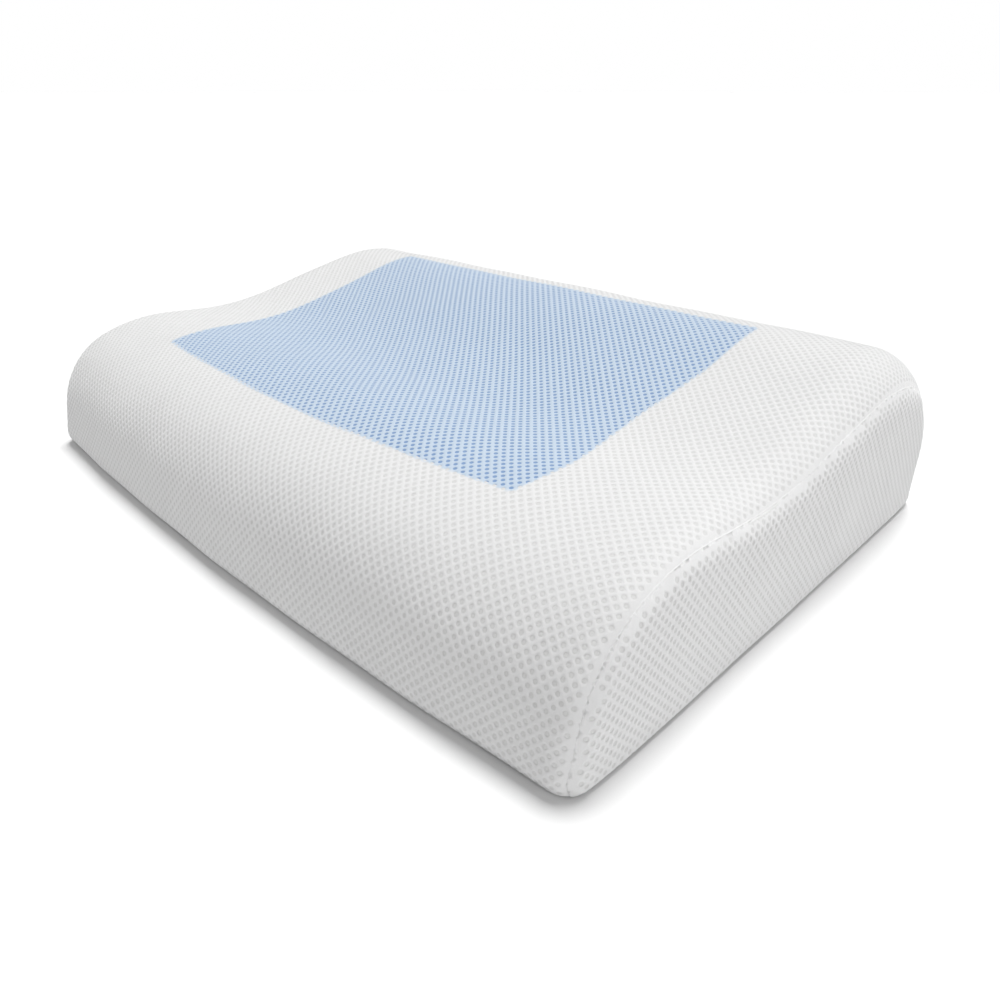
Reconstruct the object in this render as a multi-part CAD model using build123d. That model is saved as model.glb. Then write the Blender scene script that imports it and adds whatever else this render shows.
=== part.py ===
from build123d import *
import os
from math import radians, sin, sqrt

# Contoured memory-foam bed pillow: foam core, cooling gel pad, mesh cover and a zip along the back.
#
# Frame, in millimetres: +X along the pillow's length, +Y from the low front lobe to the high back
# lobe, +Z up. The origin is the bottom centre of the whole object's bounding box.

# overall size
length = 508.0
total_depth = 371.0
back_height = 112.0
front_height = 86.0
valley_height = 84.5
front_bow = 10.0
widest_end_radius = 32.0
middle_steps = 4
end_steps = 8

# cover and foam
cover_thickness = 1.5
cover_slack = 0.9
back_slack = 3.0
bottom_slack = 0.2

# panels
end_seam_inset = 3.0
thread_width = 0.8
thread_proud = 0.4

# cooling gel pad, bonded flush in the foam's top
gel_length = 337.0
gel_thickness = 3.0
gel_middle_x = -4.0
gel_front_y = -118.0
gel_back_y = 109.0
gel_front_bow = 8.0
gel_corner_radius = 5.0

# zip, along the lower part of the back face
zip_height = 23.0
zip_opening = 9.0
coil_length = 402.0
coil_height = 2.0
coil_thickness = 1.6
coil_gap = 1.0
tape_width = 11.5
tape_thickness = 0.6
tape_end = 6.0
stitch_margin = 2.5
stop_length = 3.0
stop_clearance = 1.0

# zip slider and its pull tab
slider_length = 9.0
slider_width = 7.4
plate_thickness = 1.0
running_gap = 0.4
neck_length = 2.5
neck_thickness = 0.6
flange_thickness = 0.8
slider_rest = 198.0
arch_half_length = 3.4
arch_thickness = 0.8
arch_width = 2.0
arch_opening = 1.6
tab_length = 24.0
tab_width = 6.4
tab_thickness = 1.0
tab_eye_length = 4.2
tab_eye_width = 4.0

# blank care label, sewn into the seam beside the zip
label_width = 22.0
label_drop = 19.0
label_thickness = 0.4
label_x = 226.0

half_length = length / 2
plate_outer = running_gap + plate_thickness
slider_proud = plate_outer + arch_opening + arch_thickness
front_y = -total_depth / 2
back_y = total_depth / 2 - slider_proud
end_front_y = front_y + front_bow
seam_x = half_length - end_seam_inset
opening_half = coil_length / 2 + tape_end
tape_face = back_y - coil_thickness
tape_back = tape_face - tape_thickness
tab_y = back_y + plate_outer + arch_opening / 2


def bow_at(x):
    """How far the front face stands out at x, as a parabola that is zero at both ends."""
    return front_bow * (1 - (x / half_length) ** 2)


def side_points(x):
    """The side profile at x, from the front bottom edge over the top to the back.

    Each point is y, z and the radius to which the pillow's end is rounded there.
    """
    front = end_front_y - bow_at(x)
    lobe = end_front_y - 0.4 * bow_at(x)
    return [
        (front + 0.8, 0, 10),
        (front, 16, 12),
        (front + 5, 42, 12),
        (front + 22, 67, 13),
        (lobe + 52, 82, 14),
        (end_front_y + 90, front_height, 17),
        (end_front_y + 130, valley_height, 20),
        (back_y - 172, 91.5, 23),
        (back_y - 118, 105, 28),
        (back_y - 72, back_height, widest_end_radius),
        (back_y - 32, 101, 30),
        (back_y - 9, 74, 22),
        (back_y, 38, 14),
    ]


def end_inset(x, radius, inset):
    """How far the rounding of this radius has pulled the profile in at x, on a skin at this inset."""
    past = abs(x) - (half_length - radius)
    rounding = radius - inset
    if past <= 0:
        return inset
    return inset + rounding - sqrt(max(rounding**2 - past**2, 0))


def profile_at(x, inset):
    """The pillow's side profile at x as a face, on a skin that lies this far inside the outer one."""
    points = side_points(x)
    moved = []
    for i, (y, z, radius) in enumerate(points):
        y_before, z_before, _ = points[max(i - 1, 0)]
        y_after, z_after, _ = points[min(i + 1, len(points) - 1)]
        along = Vector(y_after - y_before, z_after - z_before).normalized()
        if i in (0, len(points) - 1):
            along = Vector(0, 1 if i == 0 else -1)
        pulled = end_inset(x, radius, inset)
        moved.append((y + pulled * along.Y, z - pulled * along.X))
    with BuildSketch(Plane.YZ.offset(x)) as profile:
        with BuildLine():
            top = Spline(*moved)
            back = Line(top @ 1, ((top @ 1).X, 0))
            Line(back @ 1, top @ 0)
        make_face()
    return profile.sketch


def pillow_body(inset, bottom):
    """The whole pillow as one solid down to bottom, pulled in by inset, with its two ends rounded."""
    straight = half_length - widest_end_radius
    middle = [straight * i / middle_steps for i in range(-middle_steps, middle_steps + 1)]
    turns = [radians(90 * i / end_steps) for i in range(1, end_steps + 1)]
    end = [straight + (widest_end_radius - inset) * sin(turn) for turn in turns]
    stations = [-x for x in reversed(end)] + middle + end
    body = loft([profile_at(x, inset) for x in stations], ruled=True)
    return body & box_between((-length, -total_depth, bottom), (length, total_depth, length))


def box_between(low, high):
    """A box given by its two opposite corners."""
    size = [b - a for a, b in zip(low, high)]
    centre = [(a + b) / 2 for a, b in zip(low, high)]
    return Pos(*centre) * Box(*size)

def end_slab(side, x_low, x_high):
    """Everything between two distances from the middle, on the left (-1) or right (+1) side."""
    low, high = sorted((side * x_low, side * x_high))
    return box_between((low, -total_depth, -1), (high, total_depth, 2 * back_height))


def back_strip(x_half, z_low, z_high):
    """The stretch of the back face between two heights, out to x_half each way."""
    deep = 4 * cover_thickness
    return box_between((-x_half, back_y - deep, z_low), (x_half, back_y + 1, z_high))


def cover_end(skin, side):
    """The end panel on one side: the part of the skin beyond the end seam, above the bottom panel."""
    above = end_slab(side, seam_x, length) - bottom_zone()
    return skin & above


def bottom_zone():
    """The space of the bottom panel: the base, and the strip that turns up the back to the zip."""
    base = box_between((-length, -total_depth, -1), (length, total_depth, cover_thickness))
    return base + back_strip(seam_x, 0, zip_height)


def zip_window():
    """The slot between the two hems, where the zip shows."""
    return back_strip(opening_half, zip_height - zip_opening / 2, zip_height + zip_opening / 2)


def cover_bottom(skin):
    """The bottom panel, with the zip's lower hem on its turned-up strip."""
    return skin & bottom_zone() - zip_window()


def cover_wrap(skin):
    """The mesh panel that runs up the front, over the top and down the back to the zip."""
    middle = box_between((-seam_x, -total_depth, 0), (seam_x, total_depth, 2 * back_height))
    return skin & (middle - bottom_zone() - zip_window())


def gel_outline():
    """The gel pad seen from above: a rectangle whose front edge bows out as the pillow's does."""
    left = gel_middle_x - gel_length / 2
    right = gel_middle_x + gel_length / 2
    with BuildSketch() as outline:
        with BuildLine():
            Polyline((left, gel_front_y), (left, gel_back_y), (right, gel_back_y), (right, gel_front_y))
            ThreePointArc(
                (right, gel_front_y), (gel_middle_x, gel_front_y - gel_front_bow), (left, gel_front_y)
            )
        make_face()
        fillet(outline.vertices(), gel_corner_radius)
    return outline.sketch


def foam_and_gel():
    """The foam core, trimmed flat behind the zip, and the gel pad let into its top."""
    inset = cover_thickness + cover_slack
    foam_bottom = cover_thickness + bottom_slack
    outside = pillow_body(inset, foam_bottom)
    behind = box_between((-length, back_y - inset - back_slack, -1), (length, total_depth, length))
    pad_column = Pos(0, 0, front_height / 2) * extrude(gel_outline(), back_height)
    under_pad = Pos(0, 0, -gel_thickness) * outside
    pad = outside & pad_column - under_pad
    foam = outside - behind - pad
    return foam, pad


def end_seam(outside, thread_level, side):
    """The sewn line round one end panel, standing a little proud of the cover."""
    slab = end_slab(side, seam_x - thread_width / 2, seam_x + thread_width / 2)
    above_bottom = box_between(
        (-length, -total_depth, cover_thickness + thread_width), (length, total_depth, length)
    )
    return thread_level & slab & above_bottom - outside


def bottom_seam(outside, thread_level):
    """The sewn line along the front and ends, where the bottom panel meets the others."""
    slab = box_between(
        (-length, -total_depth, cover_thickness - thread_width / 2),
        (length, back_y - 4 * cover_thickness, cover_thickness + thread_width / 2),
    )
    return thread_level & slab - outside


def zip_tape(side):
    """The upper (+1) or lower (-1) tape, behind the hem."""
    z_low, z_high = sorted((side * coil_gap / 2, side * (coil_gap / 2 + tape_width)))
    return box_between(
        (-opening_half, tape_back, zip_height + z_low), (opening_half, tape_face, zip_height + z_high)
    )


def zip_coil(side):
    """The upper (+1) or lower (-1) row of coil teeth, on its tape's outer face."""
    half = coil_length / 2
    z_low, z_high = sorted((side * coil_gap / 2, side * (coil_gap / 2 + coil_height)))
    return box_between((-half, tape_face, zip_height + z_low), (half, back_y, zip_height + z_high))


def zip_top_stops():
    """The two end stops at the closed end, one clamped on each tape."""
    x_low = coil_length / 2 + stop_clearance
    stops = []
    for side in (1, -1):
        z_low, z_high = sorted((side * coil_gap / 2, side * (coil_gap / 2 + coil_height)))
        stops.append(
            box_between(
                (x_low, tape_face, zip_height + z_low), (x_low + stop_length, back_y, zip_height + z_high)
            )
        )
    return Compound(children=[stop.solid() for stop in stops])


def zip_bottom_stop():
    """The box that joins the two tapes at the open end."""
    x_high = -coil_length / 2 - stop_clearance
    reach = coil_gap / 2 + coil_height
    return box_between(
        (x_high - stop_length, tape_face, zip_height - reach), (x_high, back_y, zip_height + reach)
    )


def zip_stitching():
    """The top-stitching round the zip, a thin closed rectangle on the cover's outer face."""
    outer = Rectangle(2 * opening_half + 2 * stitch_margin, zip_opening + 2 * stitch_margin)
    inner = offset(outer, -thread_width)
    frame = extrude(Plane.XZ * (outer - inner), -thread_proud)
    return Pos(0, back_y, zip_height) * frame


def zip_slider():
    """The slider: outer and inner plates joined by a neck between the coils, and the pull's arch."""
    x_low = slider_rest - slider_length / 2
    x_high = slider_rest + slider_length / 2
    z_low = zip_height - slider_width / 2
    z_high = zip_height + slider_width / 2
    outer_low = back_y + running_gap
    outer_high = back_y + plate_outer
    inner_high = tape_back - running_gap
    outer_plate = box_between((x_low, outer_low, z_low), (x_high, outer_high, z_high))
    inner_plate = box_between((x_low, inner_high - plate_thickness, z_low), (x_high, inner_high, z_high))
    neck = box_between(
        (x_high - neck_length, inner_high, zip_height - neck_thickness / 2),
        (x_high, outer_low, zip_height + neck_thickness / 2),
    )
    body = outer_plate + inner_plate + neck
    flange_low = tape_face + running_gap
    for z_inner, z_outer in ((z_low, z_low + flange_thickness), (z_high - flange_thickness, z_high)):
        body += box_between((x_low, flange_low, z_inner), (x_high, outer_low, z_outer))
    arch_reach = outer_high + arch_opening + arch_thickness
    arch = box_between(
        (slider_rest - arch_half_length, outer_high, zip_height - arch_width / 2),
        (slider_rest + arch_half_length, arch_reach, zip_height + arch_width / 2),
    )
    arch_hole = box_between(
        (slider_rest - arch_half_length + arch_thickness, outer_high, z_low),
        (slider_rest + arch_half_length - arch_thickness, outer_high + arch_opening, z_high),
    )
    return body + (arch - arch_hole)


def zip_pull_tab():
    """The pull tab, hooked under the slider's arch and lying back over the closed coils."""
    blade = SlotOverall(tab_length, tab_width)
    eye_centre = tab_length / 2 - tab_thickness - tab_eye_length / 2
    blade -= Pos(eye_centre, 0) * Rectangle(tab_eye_length, tab_eye_width)
    plate = extrude(Plane.XZ * blade, tab_thickness / 2, both=True)
    return Pos(slider_rest + tab_thickness / 2 - tab_length / 2, tab_y, zip_height) * plate


def care_label():
    """The blank folded label, hanging out of the seam beside the zip against the back face."""
    return box_between(
        (label_x - label_width / 2, back_y, zip_height - label_drop),
        (label_x + label_width / 2, back_y + label_thickness, zip_height),
    )


def save(name, shape):
    """Write one sub-part to parts/NAME.step."""
    shape.label = name
    export_step(shape, f"parts/{name}.step")


def main():
    os.makedirs("parts", exist_ok=True)
    outside = pillow_body(0, 0)
    thread_level = pillow_body(-thread_proud, 0)
    skin = outside - pillow_body(cover_thickness, cover_thickness)
    foam, gel = foam_and_gel()
    save("foam_core", foam)
    save("gel_pad", gel)
    save("cover_wrap", cover_wrap(skin))
    save("cover_bottom", cover_bottom(skin))
    for side, word in ((-1, "left"), (1, "right")):
        save(f"cover_end_{word}", cover_end(skin, side))
        save(f"end_seam_{word}", end_seam(outside, thread_level, side))
    save("bottom_seam", bottom_seam(outside, thread_level))
    for side, word in ((1, "upper"), (-1, "lower")):
        save(f"zip_tape_{word}", zip_tape(side))
        save(f"zip_coil_{word}", zip_coil(side))
    save("zip_top_stops", zip_top_stops())
    save("zip_bottom_stop", zip_bottom_stop())
    save("zip_stitching", zip_stitching())
    save("zip_slider", zip_slider())
    save("zip_pull_tab", zip_pull_tab())
    save("care_label", care_label())


main()
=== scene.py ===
"""Bed pillow: the looks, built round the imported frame. Metres throughout; MM is a millimetre."""
import math

import bmesh
import bpy
import numpy as np
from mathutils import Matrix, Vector


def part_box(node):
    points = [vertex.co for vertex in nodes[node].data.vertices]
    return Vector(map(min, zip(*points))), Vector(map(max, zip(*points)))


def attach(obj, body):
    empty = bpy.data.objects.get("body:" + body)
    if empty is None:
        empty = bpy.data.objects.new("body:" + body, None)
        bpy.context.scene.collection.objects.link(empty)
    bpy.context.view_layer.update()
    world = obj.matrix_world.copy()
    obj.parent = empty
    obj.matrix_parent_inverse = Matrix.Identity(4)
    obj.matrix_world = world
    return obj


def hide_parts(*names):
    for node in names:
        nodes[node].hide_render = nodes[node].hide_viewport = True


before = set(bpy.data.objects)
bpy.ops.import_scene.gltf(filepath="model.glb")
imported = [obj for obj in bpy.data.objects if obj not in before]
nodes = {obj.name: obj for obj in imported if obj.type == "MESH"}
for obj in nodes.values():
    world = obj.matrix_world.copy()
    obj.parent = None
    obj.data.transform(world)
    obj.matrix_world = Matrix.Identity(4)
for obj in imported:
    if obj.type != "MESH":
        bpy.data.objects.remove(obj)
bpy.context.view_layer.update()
MM = 0.001

# places read from the frame
HALF_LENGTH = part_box("cover_end_right")[1].x
SEAM_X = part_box("cover_wrap")[1].x
FRONT_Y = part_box("cover_wrap")[0].y
BACK_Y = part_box("cover_bottom")[1].y
TOP_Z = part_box("cover_wrap")[1].z
GEL_LOW, GEL_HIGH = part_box("gel_pad")
ZIP_Z = (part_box("zip_coil_lower")[0].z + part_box("zip_coil_upper")[1].z) / 2
OPENING_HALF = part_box("zip_tape_upper")[1].x

# the cover's shape
FRONT_BOW = 10 * MM
LOBE_Z = 86 * MM
VALLEY_Z = 84.5 * MM
FLOOR_GAP = 0.8 * MM
LEAST_HEIGHT = 0.3 * MM
UNDERSIDE_Z = 0.1 * MM
RIM_WIDTH = 3 * MM
TUCK_RADIUS = 5 * MM
BACK_RADIUS = 14 * MM
END_BULGE = 1.6 * MM
FOOT_FLARE = 1.4 * MM
END_SOFTNESS = 0.6
BASE_INSET = 3.4 * MM
SAMPLE = 1.5 * MM

# the gel pad's outline: a bowed front edge, and end edges that sway by so much at shares of the depth
GEL_BOW = 8 * MM
GEL_EASE = 1.2 * MM
GEL_CORNER = 2.5 * MM
GEL_SWAY_AT = (0, 0.15, 0.33, 0.52, 0.72, 1)
GEL_LEFT_SWAY = (4.5 * MM, 1 * MM, 0, 0, 0.5 * MM, 1.5 * MM)
GEL_RIGHT_SWAY = (2.5 * MM, 6 * MM, -1 * MM, -4 * MM, -0.7 * MM, -1.5 * MM)
GEL_THICKNESS = 2.9 * MM
GEL_ROLL = 0.5 * MM
GEL_BED = 3 * MM
GEL_BED_INSET = 3.5 * MM
GEL_BED_SLOPE = 2 * MM

# the knit: staggered holes on a centred lattice, and how far below it the foam and gel lie
COLUMN_PITCH = 5.23 * MM
ROW_PITCH = 5.77 * MM
HOLE_ACROSS = 2.7 * MM
HOLE_ALONG = 2.9 * MM
HOLE_TAPER = 0.84
CELL_REACH = 1.2
STRAND_DROP = 0.03 * MM
RIM_DROP = 0.06 * MM
KNIT_DEPTH = 0.18 * MM
FOAM_UNDER = 0.25 * MM
GEL_UNDER = 0.22 * MM
END_FOAM_UNDER = 0.28 * MM
FOAM_FOOT = 1.5 * MM
FOAM_BACK_GAP = 0.9 * MM
FOAM_ZIP_GAP = 2.3 * MM
FOAM_CAP_RINGS = (
    0.99, 0.98, 0.97, 0.96, 0.945, 0.93, 0.91, 0.88, 0.84, 0.78, 0.7, 0.6, 0.45, 0.3, 0.15, 0.02)

# seams
PINCH_DEPTH = 0.4 * MM
PINCH_WIDTH = 2.4 * MM
SEAM_ALLOWANCE = 1.1 * MM
HEEL_CLOSED = 3 * MM
HEEL_REACH = 12 * MM
DRAWN_WIDTH = 1.2 * MM

# zip and stitches
HEM_HALF = 4.5 * MM
HEM_FOLD = 1.1 * MM
PATCH_OVER_TAPE = 6 * MM
PATCH_OVERLAP = 0.8 * MM
PATCH_DROP = 0.35 * MM
PATCH_FOLD = 0.9 * MM
STITCH_LENGTH = 2.6 * MM
STITCH_GAP = 0.7 * MM
THREAD_RADIUS = 0.22 * MM
BACKING_RADIUS = 0.42 * MM
COIL_PITCH = 1.27 * MM
COIL_WIRE = 0.33 * MM
COIL_MESHING = 0.35 * MM

# camera and light
CAMERA_AT = (0.3804, -0.3438, 0.2437)
CAMERA_TOWARD = (-0.6173, 0.6328, -0.4675)
CAMERA_LENS = 28.1
CAMERA_SENSOR = 36.0
FLOOR_SIZE = 80
FLOOR_GREY = 0.84

BODY = "pillow"
LEFT, RIGHT = -1, 1
OUT_OF_BACK = (0, 1, 0)


# ---------------- surface of the cover

def bow_at(x):
    """How far the front face stands out at x."""
    return FRONT_BOW * (1 - np.minimum(np.abs(x) / HALF_LENGTH, 1) ** 2)


def side_points(p):
    """Control points of the side profile at flat distances p from the middle, and their end radii.

    The rows hold y, height and the radius in mm of the end rounding, on which the sewn line lies.
    """
    bow = bow_at(p)
    zero = 0 * p
    end_front = FRONT_Y + FRONT_BOW
    front = end_front - bow
    lobe = end_front - 0.4 * bow
    rows = [
        (front + 0.6 * MM, FLOOR_GAP, 10), (front - 1.9 * MM, 5.5 * MM, 11),
        (front - 1.3 * MM, 16 * MM, 12), (front + 5 * MM, 42 * MM, 12),
        (front + 22 * MM, 67 * MM, 13), (lobe + 52 * MM, 82 * MM, 14),
        (end_front + 90 * MM + zero, LOBE_Z, 17), (end_front + 130 * MM + zero, VALLEY_Z, 20),
        (BACK_Y - 172 * MM + zero, 91.5 * MM, 23), (BACK_Y - 118 * MM + zero, 105 * MM, 28),
        (BACK_Y - 72 * MM + zero, TOP_Z, 32), (BACK_Y - 32 * MM + zero, 101 * MM, 30),
        (BACK_Y - 9 * MM + zero, 74 * MM, 22), (BACK_Y + zero, 38 * MM, 14),
        (BACK_Y + zero, ZIP_Z + HEM_HALF, 14),
    ]
    y = np.array([row[0] for row in rows])
    z = np.array([row[1] + zero for row in rows])
    radius = np.array([row[2] for row in rows])[:, None] * MM
    along = np.stack([np.gradient(y, axis=0), np.gradient(z, axis=0)])
    along /= np.linalg.norm(along, axis=0)
    along[:, 0] = [[0], [1]]
    along[:, -1] = [[0], [-1]]
    turn = np.clip((np.abs(p) - (HALF_LENGTH - radius)) / radius, 0, end_turn(radius))
    pull = radius * (1 - np.cos(turn))
    straight = np.minimum(np.abs(p), HALF_LENGTH - radius)
    x = np.sign(p) * (straight + radius * np.sin(turn))
    return np.stack([x, y + pull * along[1], z - pull * along[0]], axis=-1), radius[:, 0]


def end_turn(radius):
    """The angle through which the end rounding turns before it meets the end seam."""
    return np.arcsin((radius - (HALF_LENGTH - SEAM_X)) / radius)


def spline_matrix(knots, places):
    """Matrix that turns values at knots into a natural cubic spline's values at places."""
    n = len(knots)
    step = np.diff(knots)
    left, right = np.zeros((n, n)), np.zeros((n, n))
    left[0, 0] = left[-1, -1] = 1
    for i in range(1, n - 1):
        left[i, i - 1:i + 2] = step[i - 1], 2 * (step[i - 1] + step[i]), step[i]
        right[i, i - 1:i + 2] = 6 / step[i - 1], -6 / step[i - 1] - 6 / step[i], 6 / step[i]
    bend = np.linalg.solve(left, right)
    i = np.clip(np.searchsorted(knots, places) - 1, 0, n - 2)
    h = step[i][:, None]
    a = (knots[i + 1] - places)[:, None] / h
    b = 1 - a
    unit = np.eye(n)
    return (a * unit[i] + b * unit[i + 1]
            + ((a**3 - a) * bend[i] + (b**3 - b) * bend[i + 1]) * h**2 / 6)


class Skin:
    """The cover's wrap over flat cloth coordinates: p along the pillow, s over its profile."""

    def __init__(self):
        middle, radius = side_points(np.zeros(1))
        middle = middle[:, 0]
        knots = np.concatenate([[0], np.cumsum(np.linalg.norm(np.diff(middle, axis=0), axis=1))])
        fine = np.linspace(0, knots[-1], 4000)
        curve = spline_matrix(knots, fine) @ middle
        arc = np.concatenate([[0], np.cumsum(np.linalg.norm(np.diff(curve, axis=0), axis=1))])
        self.length = arc[-1]
        self.s = np.linspace(0, self.length, int(self.length / SAMPLE))
        basis = spline_matrix(knots, np.interp(self.s, arc, fine))
        self.radius = np.clip(basis @ radius, radius.min(), radius.max())
        self.reach = HALF_LENGTH - self.radius + self.radius * end_turn(self.radius)
        far = self.reach.max()
        self.p = np.linspace(-far, far, int(2 * far / SAMPLE) | 1)
        controls, _ = side_points(self.p)
        self.points = np.einsum("sk,kpc->psc", basis, controls)
        across = np.gradient(self.points, axis=0)
        over = np.gradient(self.points, axis=1)
        normal = np.cross(across, over)
        size = np.linalg.norm(normal, axis=-1, keepdims=True)
        self.normals = normal / np.maximum(size, 1e-12)
        self.fix_end_normals()

    def fix_end_normals(self):
        """Past the seam the grid has no width, so its normals repeat the last good ones."""
        for j, reach in enumerate(self.reach):
            good = np.abs(self.p) < reach - SAMPLE
            first, last = np.argmax(good), len(good) - 1 - np.argmax(good[::-1])
            self.normals[:first, j] = self.normals[first, j]
            self.normals[last + 1:, j] = self.normals[last, j]

    def reach_at(self, s):
        return np.interp(s, self.s, self.reach)

    def sample(self, field, p, s):
        """Bilinear value of a field at flat coordinates."""
        a = np.clip((p - self.p[0]) / (self.p[1] - self.p[0]), 0, len(self.p) - 1.001)
        b = np.clip((s - self.s[0]) / (self.s[1] - self.s[0]), 0, len(self.s) - 1.001)
        i, j = a.astype(int), b.astype(int)
        a, b = (a - i)[..., None], (b - j)[..., None]
        return ((1 - a) * (1 - b) * field[i, j] + a * (1 - b) * field[i + 1, j]
                + (1 - a) * b * field[i, j + 1] + a * b * field[i + 1, j + 1])

    def place(self, p, s, height):
        """World points at flat coordinates, raised along the normal."""
        to_seam = self.reach_at(s) - np.abs(p)
        height = height + softness(p, s) - seam_pinch(to_seam, s)
        normal = self.sample(self.normals, p, s)
        normal /= np.linalg.norm(normal, axis=-1, keepdims=True)
        out = self.sample(self.points, p, s) + normal * height[..., None]
        out[..., 2] = np.maximum(out[..., 2], LEAST_HEIGHT)
        return out


def softness(a, b):
    """Faint unevenness of cloth drawn over foam, a few tenths of a millimetre."""
    wave = (np.sin(a * 41 + 1.3) * np.sin(b * 37 + 0.4) + 0.7 * np.sin(a * 73 - b * 55 + 2.1)
            + 0.5 * np.sin(a * 19 + b * 91))
    return 0.25 * MM * wave


def seam_pinch(distance, along):
    """How far a sewn line draws the cloth in, with small uneven puckers along it."""
    pucker = np.sin(along * 720 + 1.7 * np.sin(along * 97)) * (0.6 + 0.4 * np.sin(along * 41 + 1))
    near = np.exp(-(np.maximum(distance, 0) / PINCH_WIDTH) ** 2)
    wide = np.exp(-np.maximum(distance, 0) / (3 * PINCH_WIDTH))
    return PINCH_DEPTH * near + 0.10 * MM * pucker * wide


# ---------------- the knit lattice

def lattice(low, high):
    """Half-pitch column and row numbers of the staggered lattice that covers low to high."""
    return [np.arange(math.floor(2 * a / pitch) - 2, math.ceil(2 * b / pitch) + 3)
            for a, b, pitch in zip(low, high, (COLUMN_PITCH, ROW_PITCH))]


def knit_panel(low, high, clamp, clearance):
    """Flat knit: points, their heights, faces, and how far along the panel each face lies.

    clamp moves flat points onto the panel, and clearance says how far inside it they are. Each cell is
    a diamond round one hole: a crest ring shared with its neighbours, the hole's rim and its wall.
    Cells too near an edge have a shallow dimple in place of a hole.
    """
    i, j = lattice(low, high)
    ni, nj = len(i), len(j)
    half = np.array([COLUMN_PITCH / 2, ROW_PITCH / 2])
    ii, jj = np.meshgrid(i, j, indexing="ij")
    node_points = np.stack([ii, jj], -1) * half
    mid_points = node_points + half / 2
    node_id = np.arange(ni * nj).reshape(ni, nj)
    mid_id = node_id + ni * nj
    cell_i, cell_j = np.nonzero((ii + jj) % 2 == 0)
    inner = (cell_i > 0) & (cell_i < ni - 1) & (cell_j > 0) & (cell_j < nj - 1)
    cell_i, cell_j = cell_i[inner], cell_j[inner]
    centre = node_points[cell_i, cell_j]
    depth_in = clearance(centre)
    near = depth_in > -CELL_REACH * half.max()
    cell_i, cell_j, centre, depth_in = cell_i[near], cell_j[near], centre[near], depth_in[near]
    crest = np.stack([
        node_id[cell_i + 1, cell_j], mid_id[cell_i, cell_j], node_id[cell_i, cell_j + 1],
        mid_id[cell_i - 1, cell_j], node_id[cell_i - 1, cell_j], mid_id[cell_i - 1, cell_j - 1],
        node_id[cell_i, cell_j - 1], mid_id[cell_i, cell_j - 1]], axis=1)
    open_cell = depth_in > 0.5 * max(HOLE_ACROSS, HOLE_ALONG) + SEAM_ALLOWANCE
    turn = np.arange(8) * math.pi / 4
    ring = np.stack([HOLE_ACROSS / 2 * np.cos(turn), HOLE_ALONG / 2 * np.sin(turn)], -1)
    holes = centre[open_cell]
    count = len(holes)
    rim = (holes[:, None] + ring).reshape(-1, 2)
    wall = (holes[:, None] + HOLE_TAPER * ring).reshape(-1, 2)
    filled = centre[~open_cell]
    first = 2 * ni * nj
    rim_id = first + np.arange(8 * count).reshape(-1, 8)
    wall_id = rim_id + 8 * count
    centre_id = first + 16 * count + np.arange(len(filled))
    flat = np.concatenate([node_points.reshape(-1, 2), mid_points.reshape(-1, 2), rim, wall, filled])
    height = np.concatenate([
        np.zeros(ni * nj), np.full(ni * nj, -STRAND_DROP), np.full(8 * count, -RIM_DROP),
        np.full(8 * count, -KNIT_DEPTH), np.full(len(filled), -RIM_DROP)])
    flat = clamp(flat)

    def band(outer, middle):
        return np.stack([outer, np.roll(outer, -1, 1), np.roll(middle, -1, 1), middle], -1).reshape(-1, 4)

    open_crest, shut_crest = crest[open_cell], crest[~open_cell]
    centres = np.repeat(centre_id[:, None], 8, 1)
    fan = np.stack([shut_crest, np.roll(shut_crest, -1, 1), centres, centres], -1).reshape(-1, 4)
    faces = np.concatenate([band(open_crest, rim_id), band(rim_id, wall_id), fan])
    row = np.concatenate([np.repeat(cell_j[open_cell], 8)] * 2 + [np.repeat(cell_j[~open_cell], 8)])
    return flat, height, faces, j[row] * half[1]


def tidy_mesh(points, faces, tags):
    """Merges equal points and drops faces without area; also gives the kept points' numbers."""
    key = np.round(points / (0.01 * MM)).astype(np.int64)
    _, keep, merged = np.unique(key, axis=0, return_index=True, return_inverse=True)
    faces = merged.reshape(-1)[faces]
    points = points[keep]
    a, b, c, d = (points[faces[:, k]] for k in range(4))
    area = np.linalg.norm(np.cross(c - a, d - b), axis=1)
    distinct = [len(set(face)) for face in faces.tolist()]
    good = (area > (0.02 * MM) ** 2) & (np.array(distinct) >= 3)
    faces, tags = faces[good], tags[good]
    used, faces = np.unique(faces, return_inverse=True)
    return points[used], faces.reshape(-1, 4), tags, keep[used]


def vertex_normals(points, faces):
    """Area-weighted normals of quads, some of which repeat their last corner."""
    a, b, c, d = (points[faces[:, k]] for k in range(4))
    face_normal = np.cross(c - a, d - b)
    total = np.zeros_like(points)
    for k in range(4):
        np.add.at(total, faces[:, k], face_normal)
    return total / np.maximum(np.linalg.norm(total, axis=1, keepdims=True), 1e-12)


# ---------------- making pieces

def mesh_from(name, points, faces):
    """A mesh object from points and faces, smooth shaded. Faces may repeat a corner."""
    lists = [[v for k, v in enumerate(face) if v not in face[:k]] for face in faces.tolist()]
    mesh = bpy.data.meshes.new(name)
    mesh.from_pydata(np.asarray(points).tolist(), [], lists)
    mesh.polygons.foreach_set("use_smooth", [True] * len(mesh.polygons))
    mesh.update()
    piece = bpy.data.objects.new(name, mesh)
    bpy.context.scene.collection.objects.link(piece)
    return piece


def finish_piece(piece, slot, replaces=(), body=BODY):
    """Gives a piece its slot's material and its body, and hides the CAD nodes it stands for."""
    piece.data.materials.append(MATERIALS[slot])
    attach(piece, body)
    if replaces:
        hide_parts(*replaces)
    return piece


def add_attribute(piece, name, values):
    """Stores one number per vertex for the material to read."""
    layer = piece.data.attributes.new(name, "FLOAT", "POINT")
    layer.data.foreach_set("value", np.asarray(values, dtype=np.float32))


# ---------------- materials

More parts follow.
